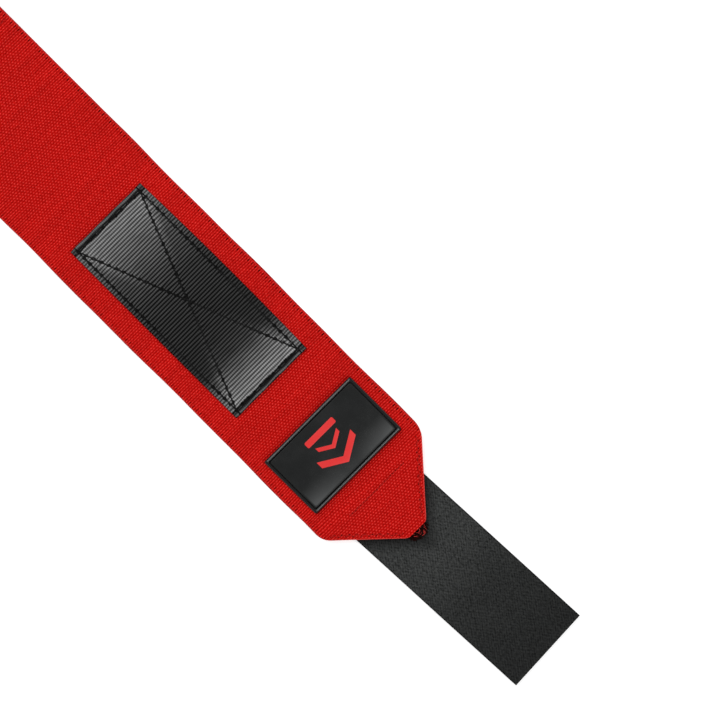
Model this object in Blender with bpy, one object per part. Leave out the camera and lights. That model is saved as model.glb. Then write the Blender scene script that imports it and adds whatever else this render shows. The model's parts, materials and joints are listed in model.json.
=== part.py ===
"""An elastic hand wrap laid out flat, outer face up.

A wide elastic band ends in a point at one end and in a turned-under hem at the other. A strap of hook
tape is sewn under the point and a tape loop for the thumb is sewn on the hem. Two patches are sewn on
the outer face: a long ribbed one, which the hooks close on, and a moulded rubber one with a raised mark.
"""

import math

import bmesh
import bpy
from mathutils import Matrix, Vector

# Driving dimensions in metres. Places along the wrap are measured from the hem end of the band, places
# across it from its centre line, and heights from the surface that it lies on.
BAND_LENGTH = 0.363
BAND_WIDTH = 0.079
BAND_THICK = 0.0016
TIP_WIDTH = 0.0123
SHOULDER_RADIUS = 0.012
TIP_CORNER_RADIUS = 0.0025
GAP = 0.0003

HEM_DEPTH = 0.022
HEM_EASE = 0.014
HEM_SEAM_PLACES = (0.0045, 0.0195)
SEAM_WIDTH = 0.0009
THREAD_HEIGHT = 0.0004
SELVEDGE_MARGIN = 0.0025

LANDING_CENTRE = 0.1925
LANDING_LENGTH = 0.1236
LANDING_WIDTH = 0.0517
LANDING_THICK = 0.001
LANDING_RADIUS = 0.0008
LANDING_BEVEL = 0.0002
STITCH_INSET = 0.003

RUBBER_CENTRE = 0.3003
RUBBER_LENGTH = 0.0390
RUBBER_WIDTH = 0.0640
RUBBER_THICK = 0.0022
RUBBER_RADIUS = 0.0012
RIM_WIDTH = 0.0019
RIM_ROUND = 0.0004
GROOVE_WIDTH = 0.0012
GROOVE_DEPTH = 0.0007
GROOVE_RADIUS = 0.0005
WALL_RUN = 0.0001
FIELD_SINK = 0.0003
MARK_HEIGHT = 0.0005
MARK_SPAN = 0.025
MARK_ARM = 0.0042
MARK_RISE = 0.0075
MARK_STEP = 0.0072
MARK_PLACE = 0.0005
INNER_PEAK_SCALE = 0.62
BAR_PLACE = -0.0095
BAR_LENGTH = 0.0205
BAR_WIDTH = 0.0036
BAR_RADIUS = 0.0008

STRAP_WIDTH = 0.050
STRAP_END = 0.457
STRAP_HINGE = 0.3745
STRAP_ROOT_LENGTH = 0.043
STRAP_SKEW = math.radians(2.7)
STRAP_OFFSET = -0.0002
TAPE_THICK = 0.0009
HOOK_THICK = 0.0009
ROOT_SEAM_PLACE = 0.333
ROOT_SEAM_LENGTH = 0.040
LIFT_START = 0.3198
LIFT_LENGTH = 0.010
LIFT_STATIONS = 6
FOLD_INNER_EDGE = 0.0285
FOLD_INSET = 0.0006
TOPSTITCH_INSET = 0.00275
TOPSTITCH_END = 0.007

LOOP_WIDTH = 0.020
LOOP_THICK = 0.001
LOOP_ROOT = -0.0052
LOOP_LENGTH = 0.061
LOOP_SWELL = 0.0105
LOOP_RISE = 0.0075
LOOP_POINTS = 41
LOOP_ENDS_START = -0.0048
LOOP_ENDS_END = 0.016
LOOP_SEAM_START = 0.002

SMOOTH_ANGLE = math.radians(35)
BEVEL_ANGLE = math.radians(60)
CUT_TOLERANCE = 1e-6
TANGENT_STEP = 0.01

# Each hinge line: its place along the wrap and its height. The cloth bends in an arc round it.
HEM_HINGE = (0.060, 0.0026)
TAIL_HINGE = (0.118, 0.0026)
TIP_HINGE = (0.2678, 0.0048)
LOOP_HINGE = (-0.005, 0.0070)
STRAP_HINGE_HEIGHT = 0.0045

# Worked out from the dimensions above.
HALF_BAND = BAND_WIDTH / 2
APEX = BAND_LENGTH + TIP_WIDTH / 2
SHOULDER = APEX - HALF_BAND
STRAP_BOTTOM = HOOK_THICK + GAP
TIP_LIFT = STRAP_BOTTOM + TAPE_THICK + GAP
TIP_TOP = TIP_LIFT + BAND_THICK
HEM_TOP = 2 * BAND_THICK + GAP
PATCH_BOTTOM = BAND_THICK + GAP
LOOP_MIDDLE = HEM_TOP + GAP + LOOP_THICK + GAP / 2
LOOP_END = LOOP_ROOT - LOOP_LENGTH - LOOP_THICK / 2
STRAP_REACH = (STRAP_END - STRAP_HINGE) * math.cos(STRAP_SKEW) + STRAP_WIDTH / 2 * math.sin(STRAP_SKEW)
MIDDLE = (LOOP_END + STRAP_HINGE + STRAP_REACH) / 2


def clear_scene():
    for item in list(bpy.data.objects):
        bpy.data.objects.remove(item, do_unlink=True)


def make_material(name, colour, roughness):
    material = bpy.data.materials.new(name)
    material.use_nodes = True
    shader = material.node_tree.nodes["Principled BSDF"]
    shader.inputs["Base Color"].default_value = (*colour, 1.0)
    shader.inputs["Roughness"].default_value = roughness
    return material


def smoothstep(t):
    t = min(max(t, 0.0), 1.0)
    return t * t * (3 - 2 * t)


def hinge_empty(name, along, height, parent, across=0.0, turn=0.0):
    """An empty on a hinge line, which the pieces that turn about it hang from."""
    empty = bpy.data.objects.new(name, None)
    bpy.context.scene.collection.objects.link(empty)
    world = Matrix.Translation((along - MIDDLE, across, height)) @ Matrix.Rotation(turn, 4, "Z")
    empty.parent = parent
    empty.matrix_local = parent.matrix_world.inverted() @ world if parent else world
    bpy.context.view_layer.update()
    return empty


def finish_piece(name, bm, material, hinge, bevel=0.0):
    """Makes the object from a mesh in the wrap's places and hangs it from its hinge."""
    bmesh.ops.recalc_face_normals(bm, faces=bm.faces)
    to_hinge = hinge.matrix_world.inverted() @ Matrix.Translation((-MIDDLE, 0, 0))
    bmesh.ops.transform(bm, matrix=to_hinge, verts=bm.verts)
    mesh = bpy.data.meshes.new(name)
    bm.to_mesh(mesh)
    bm.free()
    mesh.shade_smooth()
    mesh.set_sharp_from_angle(angle=SMOOTH_ANGLE)
    mesh.materials.append(material)
    piece = bpy.data.objects.new(name, mesh)
    bpy.context.scene.collection.objects.link(piece)
    piece.parent = hinge
    if bevel:
        modifier = piece.modifiers.new("edge", "BEVEL")
        modifier.width = bevel
        modifier.segments = 2
        modifier.limit_method = "ANGLE"
        modifier.angle_limit = BEVEL_ANGLE
    return piece


def rounded(corners, radii, steps=6):
    """A polygon's points, anticlockwise, with an arc of the given radius at each corner."""
    points = []
    count = len(corners)
    for place, (corner, radius) in enumerate(zip(corners, radii)):
        here = Vector(corner)
        if radius == 0:
            points.append(here)
            continue
        before = (Vector(corners[place - 1]) - here).normalized()
        after = (Vector(corners[(place + 1) % count]) - here).normalized()
        half = before.angle(after) / 2
        centre = here + (before + after).normalized() * (radius / math.sin(half))
        start = here + before * (radius / math.tan(half)) - centre
        for step in range(steps + 1):
            turn = Matrix.Rotation((math.pi - 2 * half) * step / steps, 2)
            points.append(centre + turn @ start)
    return points


def rectangle(low_x, high_x, low_y, high_y, radius=0.0):
    corners = [(low_x, low_y), (high_x, low_y), (high_x, high_y), (low_x, high_y)]
    return rounded(corners, [radius] * 4, steps=4)


def slab_mesh(outline, bottom, thickness):
    """A flat piece: an outline seen from above, extruded upwards."""
    bm = bmesh.new()
    face = bm.faces.new([bm.verts.new((point[0], point[1], bottom)) for point in outline])
    grown = bmesh.ops.extrude_face_region(bm, geom=[face])["geom"]
    moved = [item for item in grown if isinstance(item, bmesh.types.BMVert)]
    bmesh.ops.translate(bm, verts=moved, vec=(0, 0, thickness))
    return bm


def strip_mesh(profile, width):
    """A piece of one side profile, (along, height) points, extruded across the wrap."""
    bm = bmesh.new()
    face = bm.faces.new([bm.verts.new((along, -width / 2, height)) for along, height in profile])
    grown = bmesh.ops.extrude_face_region(bm, geom=[face])["geom"]
    moved = [item for item in grown if isinstance(item, bmesh.types.BMVert)]
    bmesh.ops.translate(bm, verts=moved, vec=(0, width, 0))
    return bm


def ring_mesh(outer, inner, bottom, thickness):
    """A flat frame between two outlines that have the same number of points."""
    bm = bmesh.new()
    levels = []
    for height in (bottom, bottom + thickness):
        for outline in (outer, inner):
            levels.append([bm.verts.new((point[0], point[1], height)) for point in outline])
    low_outer, low_inner, high_outer, high_inner = levels
    for first, second in (
        (low_outer, high_outer),
        (high_outer, high_inner),
        (high_inner, low_inner),
        (low_inner, low_outer),
    ):
        for place in range(len(outer)):
            after = (place + 1) % len(outer)
            bm.faces.new((first[place], first[after], second[after], second[place]))
    return bm


def seam_ring(low_x, high_x, low_y, high_y, bottom):
    """A closed row of thread round a rectangle."""
    outer = rectangle(low_x, high_x, low_y, high_y, SEAM_WIDTH)
    inset = SEAM_WIDTH
    inner = rectangle(low_x + inset, high_x - inset, low_y + inset, high_y - inset, SEAM_WIDTH / 4)
    return ring_mesh(outer, inner, bottom, THREAD_HEIGHT)


def seam_row(start, end, bottom):
    """A straight row of thread between two points, seen from above."""
    start, end = Vector(start), Vector(end)
    run = (end - start).normalized()
    side = Vector((-run.y, run.x)) * (SEAM_WIDTH / 2)
    corners = [start - side, end - side, end + side, start + side]
    return slab_mesh(rounded(corners, [SEAM_WIDTH / 3] * 4, steps=2), bottom, THREAD_HEIGHT)


def lift_at(along):
    """How far the band is raised, where it passes over the root of the strap."""
    step = LIFT_LENGTH / LIFT_STATIONS
    place = min(max((along - LIFT_START) / step, 0.0), LIFT_STATIONS)
    before = min(math.floor(place), LIFT_STATIONS - 1)
    low = smoothstep(before / LIFT_STATIONS)
    high = smoothstep((before + 1) / LIFT_STATIONS)
    return TIP_LIFT * (low + (high - low) * (place - before))


def raise_over_strap(bm):
    for station in range(LIFT_STATIONS + 1):
        place = LIFT_START + LIFT_LENGTH * station / LIFT_STATIONS
        parts = bm.verts[:] + bm.edges[:] + bm.faces[:]
        cut = (place, 0, 0)
        bmesh.ops.bisect_plane(bm, geom=parts, dist=CUT_TOLERANCE, plane_co=cut, plane_no=(1, 0, 0))
    for vert in bm.verts:
        vert.co.z += lift_at(vert.co.x)


def band_panels(hinges, elastic):
    """The flat stretches of the band, and its pointed end, which rises over the strap's root."""
    flat = {
        "band_tail_panel": (HEM_HINGE[0], TAIL_HINGE[0], hinges["tail"]),
        "band_middle_panel": (TAIL_HINGE[0], TIP_HINGE[0], hinges["wrap"]),
    }
    for name, (start, end, hinge) in flat.items():
        outline = rectangle(start + GAP / 2, end - GAP / 2, -HALF_BAND, HALF_BAND)
        finish_piece(name, slab_mesh(outline, 0, BAND_THICK), elastic, hinge)

    start = TIP_HINGE[0] + GAP / 2
    corners = [
        (start, -HALF_BAND),
        (SHOULDER, -HALF_BAND),
        (BAND_LENGTH, -TIP_WIDTH / 2),
        (BAND_LENGTH, TIP_WIDTH / 2),
        (SHOULDER, HALF_BAND),
        (start, HALF_BAND),
    ]
    radii = [0, SHOULDER_RADIUS, TIP_CORNER_RADIUS, TIP_CORNER_RADIUS, SHOULDER_RADIUS, 0]
    bm = slab_mesh(rounded(corners, radii), 0, BAND_THICK)
    raise_over_strap(bm)
    finish_piece("band_tip_panel", bm, elastic, hinges["tip"])


def hem_panel(hinge, elastic):
    """The end of the band, turned under to make a hem two layers thick."""
    radius = HEM_TOP / 2
    inner_radius = GAP / 2
    steps = 6
    ease = [step / steps for step in range(steps + 1)]
    drop = HEM_TOP - BAND_THICK
    end = HEM_HINGE[0] - GAP / 2
    profile = [(HEM_DEPTH, 0)]
    for step in range(steps + 1):
        turn = math.pi * step / steps
        profile.append((radius - radius * math.sin(turn), radius - radius * math.cos(turn)))
    for t in ease:
        profile.append((HEM_DEPTH + HEM_EASE * t, HEM_TOP - drop * smoothstep(t)))
    profile.append((end, BAND_THICK))
    profile.append((end, 0))
    for t in reversed(ease):
        profile.append((HEM_DEPTH + GAP + HEM_EASE * t, drop * (1 - smoothstep(t))))
    for step in range(steps + 1):
        turn = math.pi * (1 - step / steps)
        profile.append((radius - inner_radius * math.sin(turn), radius - inner_radius * math.cos(turn)))
    profile.append((HEM_DEPTH, BAND_THICK))
    finish_piece("band_hem_panel", strip_mesh(profile, BAND_WIDTH), elastic, hinge)


def hem_seams(hinge, thread):
    """One row of thread across the inner edge of the hem, and one on each side of the thumb loop."""
    edge = HALF_BAND - SELVEDGE_MARGIN
    bottom = HEM_TOP + GAP
    outer_row, inner_row = HEM_SEAM_PLACES
    beside_loop = LOOP_WIDTH / 2 + SELVEDGE_MARGIN
    rows = {
        "hem_seam": (inner_row, -edge, edge),
        "hem_edge_seam_left": (outer_row, beside_loop, edge),
        "hem_edge_seam_right": (outer_row, -edge, -beside_loop),
    }
    for name, (along, low, high) in rows.items():
        finish_piece(name, seam_row((along, low), (along, high), bottom), thread, hinge)


def landing_patch(hinge, ribbed, thread):
    """The ribbed patch, with a row of thread round its edge and a cross of thread between its corners."""
    low_x = LANDING_CENTRE - LANDING_LENGTH / 2
    high_x = LANDING_CENTRE + LANDING_LENGTH / 2
    half = LANDING_WIDTH / 2
    outline = rectangle(low_x, high_x, -half, half, LANDING_RADIUS)
    piece = slab_mesh(outline, PATCH_BOTTOM, LANDING_THICK)
    finish_piece("landing_patch", piece, ribbed, hinge, bevel=LANDING_BEVEL)

    bottom = PATCH_BOTTOM + LANDING_THICK + GAP
    inset = STITCH_INSET - SEAM_WIDTH / 2
    ring = seam_ring(low_x + inset, high_x - inset, -half + inset, half - inset, bottom)
    finish_piece("landing_patch_box_seam", ring, thread, hinge)

    reach_x = LANDING_LENGTH / 2 - STITCH_INSET - SEAM_WIDTH
    reach_y = half - STITCH_INSET - SEAM_WIDTH
    finish_piece("landing_patch_cross_seam", cross_mesh(reach_x, reach_y, bottom), thread, hinge)


def cross_mesh(reach_x, reach_y, bottom):
    """Two rows of thread that cross in the middle of the landing patch, as one outline."""
    lean = math.atan2(reach_y, reach_x)
    half = SEAM_WIDTH / 2
    armpit_x = half / math.sin(lean)
    armpit_y = half / math.cos(lean)
    run = Vector((math.cos(lean), math.sin(lean)))
    side = Vector((-run.y, run.x)) * half
    end = run * (math.hypot(reach_x, reach_y) - SEAM_WIDTH)
    points = [Vector((armpit_x, 0)), end - side, end + side, Vector((0, armpit_y))]
    upper_left = [Vector((-point.x, point.y)) for point in (end + side, end - side)]
    points += upper_left
    points += [-point for point in points[:6]]
    centre = Vector((LANDING_CENTRE, 0))
    return slab_mesh([centre + point for point in points], bottom, THREAD_HEIGHT)


def terrace_mesh(loops):
    """A closed piece built up from flat loops of points, each joined to the next, with both ends filled."""
    bm = bmesh.new()
    rows = [[bm.verts.new(point) for point in loop] for loop in loops]
    for first, second in zip(rows, rows[1:]):
        for place in range(len(first)):
            after = (place + 1) % len(first)
            bm.faces.new((first[place], first[after], second[after], second[place]))
    bm.faces.new(reversed(rows[0]))
    bm.faces.new(rows[-1])
    return bm


def rubber_patch(hinge, rubber, thread):
    """A moulded patch with a raised rim and a groove inside it for its row of stitches."""
    low_x = RUBBER_CENTRE - RUBBER_LENGTH / 2
    high_x = RUBBER_CENTRE + RUBBER_LENGTH / 2
    half = RUBBER_WIDTH / 2
    top = PATCH_BOTTOM + RUBBER_THICK
    groove_start = RIM_WIDTH + WALL_RUN
    groove_end = groove_start + GROOVE_WIDTH
    steps = (
        (0.0, PATCH_BOTTOM, RUBBER_RADIUS),
        (0.0, top - RIM_ROUND, RUBBER_RADIUS),
        (RIM_ROUND, top, RUBBER_RADIUS - RIM_ROUND),
        (RIM_WIDTH, top, GROOVE_RADIUS),
        (groove_start, top - GROOVE_DEPTH, GROOVE_RADIUS),
        (groove_end, top - GROOVE_DEPTH, GROOVE_RADIUS),
        (groove_end + WALL_RUN, top - FIELD_SINK, GROOVE_RADIUS),
    )
    loops = []
    for inset, height, radius in steps:
        outline = rectangle(low_x + inset, high_x - inset, -half + inset, half - inset, radius)
        loops.append([(point.x, point.y, height) for point in outline])
    finish_piece("rubber_patch", terrace_mesh(loops), rubber, hinge)

    inset = groove_start + (GROOVE_WIDTH - SEAM_WIDTH) / 2
    seam = seam_ring(low_x + inset, high_x - inset, -half + inset, half - inset, top - GROOVE_DEPTH + GAP)
    finish_piece("rubber_patch_seam", seam, thread, hinge)


def rubber_mark(hinge, mark):
    """The raised mark on the rubber patch: two nested peaks that point to the tip, over a plain bar."""
    bottom = PATCH_BOTTOM + RUBBER_THICK - FIELD_SINK + GAP
    half = MARK_SPAN / 2
    for name, place, scale in (
        ("rubber_mark_outer_peak", MARK_PLACE + MARK_STEP / 2, 1.0),
        ("rubber_mark_inner_peak", MARK_PLACE - MARK_STEP / 2, INNER_PEAK_SCALE),
    ):
        reach = half * scale
        foot = RUBBER_CENTRE + place - MARK_RISE * scale / 2
        crown = foot + MARK_RISE * scale
        outline = [
            (foot, -reach),
            (foot + MARK_ARM * scale, -reach),
            (crown + MARK_ARM * scale, 0),
            (foot + MARK_ARM * scale, reach),
            (foot, reach),
            (crown, 0),
        ]
        piece = slab_mesh([Vector(point) for point in outline], bottom, MARK_HEIGHT)
        finish_piece(name, piece, mark, hinge)
    place = RUBBER_CENTRE + BAR_PLACE
    half = BAR_LENGTH / 2
    bar = rectangle(place - BAR_WIDTH / 2, place + BAR_WIDTH / 2, -half, half, BAR_RADIUS)
    finish_piece("rubber_mark_bar", slab_mesh(bar, bottom, MARK_HEIGHT), mark, hinge)


def tip_folds(hinge, elastic):
    """The band's corners, turned under along the point's slanted edges and trimmed beside the strap."""
    far = HALF_BAND - FOLD_INSET * 2
    near = FOLD_INNER_EDGE
    slant = APEX - FOLD_INSET * 2
    for name, side in (("tip_fold_left", 1), ("tip_fold_right", -1)):
        outline = [(SHOULDER, near), (slant - near, near), (slant - far, far), (SHOULDER, far)]
        outline = [Vector((along, side * across)) for along, across in outline]
        if side < 0:
            outline.reverse()
        finish_piece(name, slab_mesh(outline, 0, BAND_THICK), elastic, hinge)


def tip_seams(hinge, thread):
    """Topstitching beside the slanted edges, the seam that holds the strap, and the tack at the tip."""
    bottom = TIP_TOP + GAP
    slant = APEX - TOPSTITCH_INSET * math.sqrt(2)
    outer = slant - (LIFT_START + LIFT_LENGTH + SEAM_WIDTH)
    for name, side in (("tip_topstitch_left", 1), ("tip_topstitch_right", -1)):
        start = (slant - outer, side * outer)
        end = (slant - TOPSTITCH_END, side * TOPSTITCH_END)
        finish_piece(name, seam_row(start, end, bottom), thread, hinge)
    half = ROOT_SEAM_LENGTH / 2
    seam = seam_row((ROOT_SEAM_PLACE, -half), (ROOT_SEAM_PLACE, half), bottom)
    finish_piece("strap_root_seam", seam, thread, hinge)

    foot = BAND_LENGTH + GAP
    half = APEX - foot
    tack = [Vector((foot, -half)), Vector((APEX, 0)), Vector((foot, half))]
    bm = slab_mesh(tack, STRAP_BOTTOM + TAPE_THICK + GAP, 2 * THREAD_HEIGHT)
    finish_piece("tip_bartack", bm, thread, hinge)


def strap_layers(name_pairs, low, high, hinge, turn_about):
    """The woven backing and the hooks under it, along one stretch of the strap, in the strap's own line."""
    half = STRAP_WIDTH / 2
    for name, bottom, thickness, material in name_pairs:
        bm = slab_mesh(rectangle(low, high, -half, half), bottom, thickness)
        bmesh.ops.transform(bm, matrix=turn_about, verts=bm.verts)
        finish_piece(name, bm, material, hinge)


def hook_strap(tip_hinge, strap_hinge, tape, hooks):
    """The strap: its root under the band's point, and the free part that folds back over it."""
    line = Matrix.Translation((STRAP_HINGE, STRAP_OFFSET, 0)) @ Matrix.Rotation(STRAP_SKEW, 4, "Z")
    root = (
        ("strap_root_tape", STRAP_BOTTOM, TAPE_THICK, tape),
        ("strap_root_hooks", 0, HOOK_THICK, hooks),
    )
    free = (
        ("strap_tape", STRAP_BOTTOM, TAPE_THICK, tape),
        ("strap_hooks", 0, HOOK_THICK, hooks),
    )
    strap_layers(root, -STRAP_ROOT_LENGTH, -GAP / 2, tip_hinge, line)
    strap_layers(free, GAP / 2, STRAP_END - STRAP_HINGE, strap_hinge, line)


def thumb_loop_ends(hinge, tape, thread):
    """The two ends of the thumb loop's tape, laid together on the hem and sewn down."""
    half = LOOP_WIDTH / 2
    bottom = HEM_TOP + GAP
    thickness = 2 * LOOP_THICK + GAP
    bm = slab_mesh(rectangle(LOOP_ENDS_START, LOOP_ENDS_END, -half, half), bottom, thickness)
    finish_piece("thumb_loop_ends", bm, tape, hinge)
    inset = 2 * SEAM_WIDTH
    high = LOOP_ENDS_END - inset / 2
    ring = seam_ring(LOOP_SEAM_START, high, -half + inset, half - inset, bottom + thickness + GAP)
    finish_piece("thumb_loop_seam", ring, thread, hinge)


def loop_line(t):
    """A point of the loop's middle line. The angle t goes from the root, round the far end, and back."""
    share = (1 - math.cos(t)) / 2
    side = 1 if t < math.pi else -1
    swell = LOOP_SWELL * math.sin(t) * math.sin(t / 2)
    root_gap = side * (LOOP_THICK + GAP) / 2 * abs(math.cos(t / 2))
    along = LOOP_ROOT - LOOP_THICK / 2 - (LOOP_LENGTH - LOOP_THICK / 2) * share
    return Vector((along, LOOP_MIDDLE + LOOP_RISE * smoothstep(share) + swell + root_gap))


def thumb_loop(hinge, tape):
    """A loop of flat tape that stands open in the shape of a drop, closed where it meets its sewn ends."""
    outer = []
    inner = []
    for step in range(LOOP_POINTS):
        t = math.pi * (2 * step + 1) / LOOP_POINTS
        here = loop_line(t)
        run = (loop_line(t + TANGENT_STEP) - loop_line(t - TANGENT_STEP)).normalized()
        side = Vector((run.y, -run.x)) * (LOOP_THICK / 2)
        outer.append(here - side)
        inner.append(here + side)
    bm = bmesh.new()
    rings = []
    for outline in (outer, inner):
        for across in (-LOOP_WIDTH / 2, LOOP_WIDTH / 2):
            rings.append([bm.verts.new((point.x, across, point.y)) for point in outline])
    right_outer, left_outer, right_inner, left_inner = rings
    for first, second in (
        (right_outer, left_outer),
        (left_outer, left_inner),
        (left_inner, right_inner),
        (right_inner, right_outer),
    ):
        for place in range(LOOP_POINTS):
            after = (place + 1) % LOOP_POINTS
            bm.faces.new((first[place], first[after], second[after], second[place]))
    finish_piece("thumb_loop", bm, tape, hinge)


def build():
    clear_scene()
    elastic = make_material("elastic_red", (0.50, 0.012, 0.010), 0.8)
    ribbed = make_material("ribbed_black", (0.020, 0.021, 0.021), 0.42)
    rubber = make_material("patch_rubber", (0.012, 0.013, 0.014), 0.38)
    mark = make_material("mark_red", (0.70, 0.025, 0.025), 0.45)
    tape = make_material("strap_tape_black", (0.020, 0.022, 0.023), 0.85)
    hooks = make_material("hook_black", (0.014, 0.014, 0.015), 0.55)
    loop_tape = make_material("loop_tape_black", (0.018, 0.018, 0.019), 0.8)
    black_thread = make_material("thread_black", (0.010, 0.010, 0.010), 0.6)
    red_thread = make_material("thread_red", (0.42, 0.012, 0.010), 0.6)

    wrap = hinge_empty("wrap", MIDDLE, 0.0, None)
    tail = hinge_empty("tail_hinge", *TAIL_HINGE, wrap)
    hem = hinge_empty("hem_hinge", *HEM_HINGE, tail)
    loop = hinge_empty("thumb_loop_hinge", *LOOP_HINGE, hem)
    tip = hinge_empty("tip_hinge", *TIP_HINGE, wrap)
    strap = hinge_empty("strap_hinge", STRAP_HINGE, STRAP_HINGE_HEIGHT, tip, STRAP_OFFSET, STRAP_SKEW)

    band_panels({"wrap": wrap, "tail": tail, "tip": tip}, elastic)
    hem_panel(hem, elastic)
    hem_seams(hem, red_thread)
    landing_patch(wrap, ribbed, black_thread)
    rubber_patch(tip, rubber, black_thread)
    rubber_mark(tip, mark)
    tip_folds(tip, elastic)
    tip_seams(tip, red_thread)
    hook_strap(tip, strap, tape, hooks)
    thumb_loop_ends(hem, loop_tape, black_thread)
    thumb_loop(loop, loop_tape)


build()
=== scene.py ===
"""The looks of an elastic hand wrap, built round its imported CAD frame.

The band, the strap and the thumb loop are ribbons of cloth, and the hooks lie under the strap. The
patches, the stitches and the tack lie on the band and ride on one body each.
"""

import json
import math
import random

import bmesh
import bpy
import numpy as np
from mathutils import Matrix, Vector


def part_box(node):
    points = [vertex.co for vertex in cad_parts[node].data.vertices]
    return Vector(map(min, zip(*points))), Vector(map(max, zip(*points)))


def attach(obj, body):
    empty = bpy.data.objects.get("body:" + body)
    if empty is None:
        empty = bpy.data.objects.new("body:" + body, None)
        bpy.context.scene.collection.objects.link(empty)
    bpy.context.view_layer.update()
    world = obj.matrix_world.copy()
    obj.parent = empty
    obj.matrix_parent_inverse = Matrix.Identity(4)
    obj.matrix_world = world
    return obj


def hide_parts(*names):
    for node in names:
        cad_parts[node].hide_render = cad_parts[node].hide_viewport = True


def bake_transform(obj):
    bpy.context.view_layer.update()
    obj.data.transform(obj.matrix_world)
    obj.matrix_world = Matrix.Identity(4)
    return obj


MM = 0.001

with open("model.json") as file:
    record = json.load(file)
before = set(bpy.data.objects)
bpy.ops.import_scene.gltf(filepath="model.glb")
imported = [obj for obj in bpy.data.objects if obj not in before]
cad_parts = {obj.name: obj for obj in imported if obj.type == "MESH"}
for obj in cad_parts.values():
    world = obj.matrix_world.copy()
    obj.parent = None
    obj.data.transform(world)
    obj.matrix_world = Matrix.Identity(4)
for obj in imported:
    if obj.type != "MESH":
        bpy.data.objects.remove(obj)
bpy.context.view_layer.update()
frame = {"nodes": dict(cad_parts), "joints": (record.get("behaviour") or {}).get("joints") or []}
joints = {joint["name"]: joint for joint in frame["joints"]}


def low(node):
    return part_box(node)[0]


def high(node):
    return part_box(node)[1]


def middle(node):
    return (low(node) + high(node)) / 2


def hinge(name):
    return Vector(joints[name]["pos_m"])


# Places and sizes of the band, read from the frame. Across the wrap, Y is 0 on the centre line.
HEM_END = low("band_hem_panel").x
TIP_END = high("band_tip_panel").x
HALF_BAND = high("band_middle_panel").y
BAND_THICK = high("band_middle_panel").z
HEM_TOP = high("band_hem_panel").z
TIP_LIFT = high("band_tip_panel").z - BAND_THICK
APEX = high("tip_bartack").x
HALF_TIP = APEX - TIP_END
SHOULDER = APEX - HALF_BAND
LIFT_START = high("rubber_patch").x + 0.3 * MM
LIFT_END = low("strap_root_tape").x - 1.0 * MM
HEM_DEPTH = 22 * MM
# From a box seam's edge in the CAD to the middle of its thread.
THREAD_INSET = 0.45 * MM
HEM_EASE = 14 * MM
SHOULDER_RADIUS = 12 * MM
PATCH_X = middle("landing_patch").x
PATCH_HALF_X = high("landing_patch").x - PATCH_X
PATCH_HALF_Y = high("landing_patch").y
PATCH_THICK = high("landing_patch").z - low("landing_patch").z
STITCH_INSET = PATCH_HALF_Y - high("landing_patch_box_seam").y + THREAD_INSET
RIBS = round(2 * PATCH_HALF_X / (1.75 * MM))
PATCH_BOX_X = PATCH_HALF_X - STITCH_INSET
PATCH_BOX_Y = PATCH_HALF_Y - STITCH_INSET
PATCH_SLOPE = PATCH_BOX_Y / PATCH_BOX_X
PATCH_PITCH = 4.4 * MM
RUBBER_X = middle("rubber_patch").x
RUBBER_HALF_X = high("rubber_patch").x - RUBBER_X
RUBBER_HALF_Y = high("rubber_patch").y
RUBBER_CORNER = 1.1 * MM
RUBBER_PINCH = 0.03
TOPSTITCH_LINE = APEX - 2.4 * MM * math.sqrt(2)
# The point is sewn a little askew: how steep its slanted edge is, left (1) and right (-1), and how far
# past the apex that edge would meet the centre line.
POINT_SLOPE = {1: 0.90, -1: 1.06}
POINT_SHIFT = {1: 1.5 * MM, -1: 0.0}
ROOT_SEAM_X = middle("strap_root_seam").x
ROOT_SEAM_HALF = high("strap_root_seam").y
STRAP_HALF = 25 * MM
STRAP_TO_APEX = hinge("strap_fold").x - APEX
# How far a bend reaches before its hinge and past it.
BEND_REACH = {
    "tail_curl": (6 * MM, 16 * MM),
    "hem_curl": (6 * MM, 16 * MM),
    "tip_bend": (4 * MM, 13 * MM),
    "strap_fold": (2 * MM, 8 * MM),
    "thumb_loop_swing": (4 * MM, 4 * MM),
}

# The setting: the camera's height over the floor, half the floor's side, and where the lamps point.
CAMERA_HEIGHT = 1056.5 * MM
FLOOR_HALF = 60.0
LIGHT_AIM = Vector((0.05, 0.0, 0.0))

# The weave: its ribs run across the band this far apart, and its knuckles are twice KNUCKLE apart.
RIB_PITCH = 1.32 * MM
KNUCKLE = 0.943 * MM
# How far apart the points along the band are, and along its pointed end.
BAND_STEP = 1.6 * MM
POINT_STEP = 0.6 * MM


def smoothstep(t):
    t = min(1.0, max(0.0, t))
    return t * t * (3 - 2 * t)


def bell(distance, reach):
    return math.exp(-((distance / reach) ** 2))


def spaced(start, end, count):
    """Evenly spaced numbers from start to end, both included."""
    return [start + (end - start) * number / count for number in range(count + 1)]


def corners(centre, half_x, half_y):
    return [(centre + a * half_x, b * half_y) for a, b in ((-1, -1), (1, -1), (1, 1), (-1, 1))]


def round_rows(points):
    """The rows that join points in a closed ring."""
    return list(zip(points, points[1:] + points[:1]))


# ---- materials


class Value:
    """What a node gives out. Arithmetic on it adds more nodes."""

    def __init__(self, look, socket):
        self.look = look
        self.socket = socket

    def __add__(self, other):
        return self.look.math("ADD", self, other)

    def __sub__(self, other):
        return self.look.math("SUBTRACT", self, other)

    def __rsub__(self, other):
        return self.look.math("SUBTRACT", other, self)

    def __mul__(self, other):
        return self.look.math("MULTIPLY", self, other)

    def __truediv__(self, other):
        return self.look.math("DIVIDE", self, other)

    def __pow__(self, other):
        return self.look.math("POWER", self, other)

    def __abs__(self):
        return self.look.math("ABSOLUTE", self)


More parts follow.
